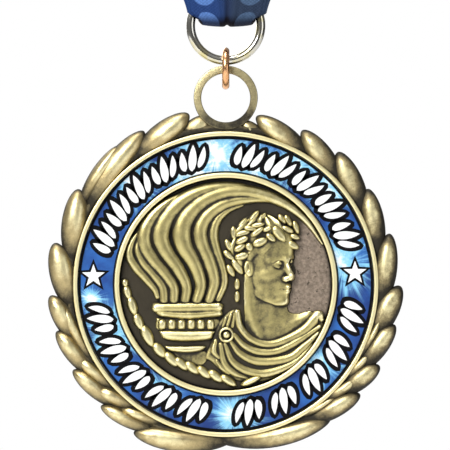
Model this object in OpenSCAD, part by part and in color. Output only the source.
// Award medal on a neck ribbon.
// The whole assembly hangs from the origin, which is the axis of the peg or
// hook that the folded ribbon is hung on. The medal faces -Y and +Z is up.

/* [Medal] */
// Width of the medal across its leaf border
medal_d = 63.5; // [56:0.5:80]
// Width of the leaf border outside the outer rim
leaf_border_w = 4.4; // [3.6:0.1:6]
// Thickness of the disc behind the picture
disc_t = 1.6; // [1.2:0.1:3]
// Width of the bright rim outside the printed band
outer_rim_w = 0.8; // [0.6:0.05:1.5]
// Width of the bright rim inside the printed band
inner_rim_w = 0.9; // [0.6:0.05:1.5]
// Height of both rims above the disc
rim_h = 1.7; // [1.2:0.1:2.6]
// Width of the printed band
band_w = 6.3; // [4:0.1:8]
// Thickness of the printed ring
print_t = 0.5; // [0.3:0.05:1]
// Thickness of the adhesive ring under it
glue_t = 0.1; // [0.05:0.05:0.3]
// Height of the tallest leaf above the disc
leaf_h = 2.2; // [1.6:0.1:3]
// Width and height of the rim round the back
back_rim_w = 2.0; // [1:0.1:3]
back_rim_h = 0.4; // [0.2:0.1:0.8]

/* [Eyelet] */
// Hole through the cast eyelet
eyelet_hole_d = 8.8; // [7:0.1:11]
// Width of the eyelet's wall
eyelet_wall = 1.35; // [1:0.05:2]
// Thickness of the eyelet, front to back
eyelet_t = 2.2; // [1.6:0.1:3]

/* [Rings] */
// Outside diameter of the large ring in the ribbon
ring_d = 14.2; // [12:0.1:20]
// Wire of the large ring
ring_wire_d = 1.6; // [1.2:0.1:2.2]
// Wire of the jump ring
jump_wire_d = 1.3; // [1:0.1:1.6]
// Slack inside the jump ring, beyond the two walls that it links
jump_slack = 1.85; // [1.2:0.05:3]

/* [Ribbon] */
// Width of the flat ribbon
ribbon_w = 22; // [18:0.5:30]
// Thickness of the ribbon
ribbon_t = 0.35; // [0.25:0.05:0.6]
// Length of the ribbon strip, with what is turned back and sewn
strip_len = 838; // [700:1:1000]
// Runs of ribbon in the hank
hank_runs = 12; // [8:2:16]
// Peg or hook that the hank hangs on
peg_d = 6.2; // [5:0.1:12]
// Height of the paper band round the hank
band_h = 16; // [8:1:30]
// Thickness of the paper
paper_t = 0.2; // [0.15:0.05:0.5]

/* [Hidden] */
$fn = 96;
small = 32;

// Clearances
seat_gap = 0.15;      // printed ring to the rims beside it
link_gap = 0.15;      // eyelet's top to the large ring's wire
wire_gap = 0.25;      // large ring's wire to the inside of the jump ring
cloth_gap = 0.25;     // ribbon to the large ring's wire
flex_gap = 0.5;       // half of the gap where the ribbon flexes

// Radii of the medal, from the outside in
leaf_r = medal_d / 2;
rim_ro = leaf_r - leaf_border_w;
rim_ri = rim_ro - outer_rim_w;
band_ro = rim_ri - seat_gap;
band_ri = band_ro - band_w;
inner_ro = band_ri - seat_gap;
inner_ri = inner_ro - inner_rim_w;
field_t = 0.3;                 // thickness of the sunk centre
relief_s = inner_ri / 18.9;    // the picture is drawn for a field of 18.9
relief_h = rim_h - field_t;    // room for the picture below the rims

// Heights above the middle of the medal
eyelet_ro = eyelet_hole_d / 2 + eyelet_wall;
foot_gap = 0.3;
eyelet_z = rim_ro + foot_gap + eyelet_ro;
ring_r = (ring_d - ring_wire_d) / 2;
ring_low = eyelet_z + eyelet_ro + link_gap;
ring_z = ring_low + ring_d / 2;
link_z = ring_low + ring_wire_d / 2;
jump_hole_d = eyelet_wall + link_gap + ring_wire_d + jump_slack;
jump_r = (jump_hole_d + jump_wire_d) / 2;
jump_z = ring_low + ring_wire_d + wire_gap - jump_hole_d / 2;
flex_z = ring_z + ring_d / 2 + 2.5;
drop_len = 14;
hank_low = flex_z + drop_len;

// The hank: one loop over the peg, with the other runs folded below it
peg_wall = 0.62;               // the ribbon's share of the thickness over the peg
hank_t = peg_d + 2 * peg_wall;
loop_drop = 6;                 // how far the inner folds stop below the peg
tails_len = 56;                // ribbon below the hank, with the sewn tail
bends_len = 23;                // ribbon in all the bends
inner_runs = hank_runs - 2;
run_len = (strip_len - tails_len - bends_len + inner_runs * loop_drop) / hank_runs;
medal_z = -(hank_low + run_len);
strap_t = 3 * ribbon_t + 0.2;  // three thicknesses at the sewn drop
medal_y = -hank_t / 2 + strap_t / 2;
panel_t = 2 * ribbon_t + 0.2;
panel_y = ring_wire_d / 2 + cloth_gap;

// ---- Places and helpers ----

// Puts a medal piece, drawn flat with its front up, in its place
module on_medal() {
    translate([0, medal_y, medal_z]) rotate([90, 0, 0]) children();
}

// Puts a relief piece on the sunk centre field
module on_field() {
    on_medal() translate([0, 0, field_t]) children();
}

module washer(ro, ri, z0, z1) {
    translate([0, 0, z0]) difference() {
        cylinder(r = ro, h = z1 - z0);
        translate([0, 0, -1]) cylinder(r = ri, h = z1 - z0 + 2);
    }
}

module wire_ring(r, d) {
    rotate_extrude() translate([r, 0]) circle(d = d, $fn = small);
}

// A smooth line through points p, with n steps between each two
function bend(p, n = 4) = let (m = len(p) - 1) [
    for (i = [0 : m - 1], k = [0 : n - 1])
        let (a = p[max(i - 1, 0)], b = p[i], c = p[i + 1], d = p[min(i + 2, m)], t = k / n)
            (2 * b + (c - a) * t + (2 * a - 5 * b + 4 * c - d) * t * t
             + (3 * b - a - 3 * c + d) * t * t * t) / 2,
    p[m]];

// Outline of a tapering strand of greatest width w along the line p
function strand(p, w, tip = 0.4) = let (
        q = bend(p),
        m = len(q) - 1,
        side = [for (i = [0 : m])
            let (v = q[min(i + 1, m)] - q[max(i - 1, 0)],
                 k = tip + (1 - tip) * sin(180 * i / m))
                [-v.y, v.x] / norm(v) * w * k / 2])
    concat([for (i = [0 : m]) q[i] + side[i]], [for (i = [m : -1 : 0]) q[i] - side[i]]);

// A leaf of length l and width w, lying along X from its middle
module leaf(l, w, h) {
    r = (l * l + w * w) / (4 * w);
    intersection() {
        translate([0, w / 2 - r, 0]) cylinder(r = r, h = h);
        translate([0, r - w / 2, 0]) cylinder(r = r, h = h);
    }
}

// ---- Ribbon ----

// The folded ribbon: a loop over the peg with the other runs below it
module ribbon_hank() {
    color("royalblue") translate([-ribbon_w / 2, 0, 0]) rotate([90, 0, 90])
        linear_extrude(ribbon_w) difference() {
            union() {
                circle(d = hank_t);
                translate([-hank_t / 2, -run_len]) square([hank_t, run_len]);
            }
            circle(d = peg_d);
            translate([-peg_d / 2, -loop_drop]) square([peg_d, loop_drop]);
        }
}

// The sewn strap between the hank and the place where the ribbon flexes
module ribbon_drop() {
    low_w = ribbon_w * 0.86;
    color("mediumblue") translate([0, medal_y + strap_t / 2, medal_z]) rotate([90, 0, 0])
        linear_extrude(strap_t) polygon([
            [-low_w / 2, flex_z + flex_gap], [low_w / 2, flex_z + flex_gap],
            [ribbon_w / 2, hank_low], [-ribbon_w / 2, hank_low]]);
}

// Paper wrapped once round the hank
module paper_band() {
    color("ghostwhite") translate([0, 0, -run_len * 0.56]) difference() {
        cube([ribbon_w + 2 * paper_t, hank_t + 2 * paper_t, band_h], center = true);
        cube([ribbon_w, hank_t, band_h + 1], center = true);
    }
}

// Two rows of thread that close the ribbon's loop
module seam_stitches() {
    pitch = 1.5;
    n = floor((ribbon_w * 0.8) / pitch);
    color("navy") for (row = [4.5, 7.5], i = [0 : n - 1])
        translate([(i - (n - 1) / 2) * pitch - 0.5, medal_y - strap_t / 2 - 0.15,
                   medal_z + flex_z + row])
            cube([1.0, 0.15, 0.3]);
}

// The end of the ribbon, turned through the large ring and gathered
module ribbon_bight() {
    top = flex_z - flex_gap;
    fold_top = ring_z + 1.8;
    fold_low = ring_z - 0.2;
    fold_w = 2 * (ring_r - ring_wire_d / 2) - 1.6;
    cheek_w = ring_d - 0.4;
    full = 2 * (panel_y + panel_t);
    bridge_z = ring_z + ring_d / 2 + cloth_gap;
    color("darkslateblue") translate([0, medal_y, medal_z]) {
        for (side = [-1, 1])
            translate([0, side * (panel_y + panel_t / 2) + panel_t / 2, 0]) rotate([90, 0, 0])
                linear_extrude(panel_t) polygon([
                    [-cheek_w / 2, fold_top], [-fold_w / 2, fold_top], [-fold_w / 2, fold_low],
                    [fold_w / 2, fold_low], [fold_w / 2, fold_top], [cheek_w / 2, fold_top],
                    [ribbon_w * 0.41, top], [-ribbon_w * 0.41, top]]);
        translate([-fold_w / 2, -full / 2, fold_low]) cube([fold_w, full, fold_top - fold_low]);
        translate([-ribbon_w * 0.39, -full / 2, bridge_z])
            cube([ribbon_w * 0.78, full, top - bridge_z]);
    }
}

// ---- Rings ----

module large_ring() {
    color("silver") translate([0, medal_y, medal_z + ring_z]) rotate([90, 0, 0])
        wire_ring(ring_r, ring_wire_d);
}

// An open ring of round wire, closed by bending, with its ends at the back
module jump_ring() {
    color("peru") translate([0, medal_y, medal_z + jump_z]) difference() {
        rotate([0, 90, 0]) wire_ring(jump_r, jump_wire_d);
        translate([0, jump_r, 0]) cube([2 * jump_wire_d, 2 * jump_wire_d, 0.12], center = true);
    }
}

// ---- Medal casting ----

// The flat eyelet with the foot that joins it to the disc
module eyelet() {
    color("darkkhaki") on_medal() difference() {
        union() {
            translate([0, eyelet_z, -eyelet_t / 2]) cylinder(r = eyelet_ro, h = eyelet_t);
            translate([-2.6, rim_ro - 1, -eyelet_t / 2]) cube([5.2, 3, eyelet_t]);
        }
        translate([0, eyelet_z, -eyelet_t]) cylinder(d = eyelet_hole_d, h = 2 * eyelet_t);
        translate([0, 0, -eyelet_t]) cylinder(r = rim_ro, h = 2 * eyelet_t);
    }
}

module medal_disc() {
    color("darkkhaki") on_medal() translate([0, 0, -disc_t]) cylinder(r = rim_ro, h = disc_t);
}

module back_rim() {
    color("darkkhaki") on_medal()
        washer(rim_ro, rim_ro - back_rim_w, -disc_t - back_rim_h, -disc_t);
}

// A rim with a rounded crest
module rim(ro, w) {
    rotate_extrude() {
        translate([ro - w, 0]) square([w, rim_h - w / 2]);
        translate([ro - w / 2, rim_h - w / 2]) intersection() {
            circle(d = w, $fn = small);
            translate([-w, 0]) square([2 * w, w]);
        }
    }
}

module outer_rim() {
    color("khaki") on_medal() rim(rim_ro, outer_rim_w);
}

module inner_rim() {
    color("khaki") on_medal() rim(inner_ro, inner_rim_w);
}

module adhesive_ring() {
    color("whitesmoke") on_medal() washer(band_ro - seat_gap, band_ri + seat_gap, 0, glue_t);
}

module printed_ring() {
    color("dodgerblue") on_medal() washer(band_ro, band_ri, glue_t, glue_t + print_t);
}

module centre_field() {
    color("dimgray") on_medal() cylinder(r = inner_ri, h = field_t);
}

// One spray of border leaves, from the foot of the medal up to the eyelet.
// The leaves lie side by side like the strands of a rope, and don't touch.
module spray(side) {
    tilt = 30;
    mid_r = rim_ro + leaf_border_w / 2;
    start_a = 1;
    end_a = 180 - asin((eyelet_ro + 0.5) / rim_ro) + 2;
    n = round((end_a - start_a) * PI / 180 * mid_r / (1.35 * leaf_border_w));
    step_a = (end_a - start_a) / n;
    gap = step_a * PI / 180 * mid_r;
    difference() {
        intersection() {
            for (i = [0 : n - 1])
                rotate(180 + side * (start_a + (i + 0.5) * step_a))
                    translate([0, mid_r, -disc_t]) rotate(side * tilt)
                        leaf(gap * 1.5, gap * sin(tilt) * 0.92, leaf_h + disc_t);
            translate([0, 0, -2 * disc_t]) cylinder(r = leaf_r, h = 4 * disc_t + 2 * leaf_h);
        }
        translate([0, 0, -3 * disc_t]) cylinder(r = rim_ro, h = 6 * disc_t + 3 * leaf_h);
    }
}

module left_wreath() {
    color("tan") on_medal() spray(-1);
}

module right_wreath() {
    color("tan") on_medal() spray(1);
}

// ---- Relief on the centre field ----

flame_lines = [
    [[-10.9, -2.6], [-12.4, 0], [-14.7, 2.6], [-16.5, 4.9], [-16.0, 8.2]],
    [[-9.2, -2.6], [-9.6, -0.3], [-11.4, 2.3], [-13.9, 5.1], [-14.8, 8.0], [-13.5, 11.3],
     [-10.9, 14.1]],
    [[-7.2, -2.6], [-7.0, 0], [-9.0, 3.1], [-11.6, 6.2], [-11.9, 9.3], [-10.1, 12.6],
     [-7.2, 15.2], [-3.9, 16.8], [-0.3, 17.5]],
    [[-4.8, -2.6], [-4.4, 0], [-6.0, 3.6], [-7.8, 7.2], [-7.5, 10.5], [-5.4, 13.4],
     [-2.4, 15.5], [1.2, 16.4], [5.9, 16.1], [9.7, 14.8], [13.6, 12.2], [16.8, 7.2]],
    [[-2.6, -2.6], [-1.8, 0], [-2.6, 3.1], [-4.2, 6.7], [-4.4, 9.8], [-2.9, 12.3],
     [-0.3, 14.0], [3.3, 14.6]],
    [[-1.3, -2.6], [-0.3, -0.5], [-0.6, 2.0], [-1.6, 5.1], [-2.0, 8.2], [-1.1, 10.8]]];

module flames() {
    color("goldenrod") on_field()
        for (p = flame_lines)
            linear_extrude(relief_h) polygon(strand(p * relief_s, 1.5 * relief_s));
}

// A turned piece of the torch, cut flat where it meets the field
module turned(w, z0, z1) {
    color("goldenrod") on_field() translate([-6.95 * relief_s, 0, 0])
        linear_extrude(relief_h * 0.9) polygon([
            [-w / 2, z1] * relief_s, [-w / 2 + 0.4, z0] * relief_s,
            [w / 2 - 0.4, z0] * relief_s, [w / 2, z1] * relief_s]);
}

module torch_bowl() {
    turned(12.6, -5.9, -3.2);
}

module torch_beads() {
    color("goldenrod") on_field()
        for (i = [0 : 5])
            translate([(-11.4 + i * 1.78) * relief_s, -7.0 * relief_s, 0])
                cylinder(r = 0.8 * relief_s, h = relief_h * 0.7, $fn = small);
}

module torch_collar() {
    turned(9.9, -10.2, -8.1);
}

module torch_foot() {
    turned(7.4, -12.2, -10.8);
}

// An oval head, turned a little to the right
module head() {
    color("goldenrod") on_field() linear_extrude(relief_h) polygon([
        for (a = [0 : 12 : 348])
            [7.4 + 4.2 * cos(a) - 0.8 * sin(a), 2.2 + 5.6 * sin(a) + 0.6 * cos(a)] * relief_s]);
}

// Two curved rows of leaves over the head
module head_wreath() {
    color("goldenrod") on_field()
        for (k = [0 : 9])
            translate([(7.4 + 6.2 * cos(215 - k * 22)) * relief_s,
                       (4.0 + 7.4 * sin(215 - k * 22)) * relief_s, 0])
                rotate(125 - k * 22 + (k % 2) * 40)
                    leaf(2.4 * relief_s, 0.9 * relief_s, relief_h * 0.85);
}

module neck() {
    color("goldenrod") on_field() linear_extrude(relief_h * 0.7) polygon(relief_s * [
        [3.6, -3.9], [4.4, -9.2], [8.0, -9.6], [10.6, -6.9], [9.9, -4.2], [6.6, -3.6]]);
}

// Cloth over the shoulder, gathered at the brooch
module toga() {
    color("goldenrod") on_field() {
        linear_extrude(relief_h * 0.45) polygon(relief_s * [
            [1.9, -9.9], [8.0, -10.3], [12.2, -8.0], [16.4, -5.4], [16.6, -7.6],
            [14.2, -12.0], [9.6, -15.4], [4.2, -16.2], [1.2, -14.4], [0.4, -11.2]]);
        for (k = [0 : 2])
            translate([0, 0, relief_h * 0.45]) linear_extrude(relief_h * 0.4)
                polygon(strand(relief_s * [
                    [2.2 + 0.1 * k, -10.9 - 1.0 * k], [6.6, -11.6 - 1.35 * k],
                    [11.2, -10.4 - 1.1 * k], [15.0 - 0.8 * k, -7.8 - 1.0 * k]],
                    0.7 * relief_s));
    }
}

module brooch() {
    color("khaki") on_field() translate([0.05, -9.0] * relief_s) {
        washer(1.5 * relief_s, 0.9 * relief_s, 0, relief_h);
        cylinder(r = 0.7 * relief_s, h = relief_h * 0.9, $fn = small);
    }
}

// Leaves along the lower left, from the side of the field to the foot
module laurel_branch() {
    n = 12;
    color("goldenrod") on_field()
        for (i = [0 : n])
            rotate(92 + i * 7.4) translate([0, 17.6 * relief_s, 0])
                rotate(20) leaf(2.2 * relief_s, 1.1 * relief_s, relief_h * 0.7);
}

ribbon_hank();
ribbon_drop();
paper_band();
seam_stitches();
ribbon_bight();
large_ring();
jump_ring();
eyelet();
medal_disc();
back_rim();
outer_rim();
adhesive_ring();
printed_ring();
inner_rim();
centre_field();
left_wreath();
right_wreath();
flames();
torch_bowl();
torch_beads();
torch_collar();
torch_foot();
head();
head_wreath();
neck();
toga();
brooch();
laurel_branch();
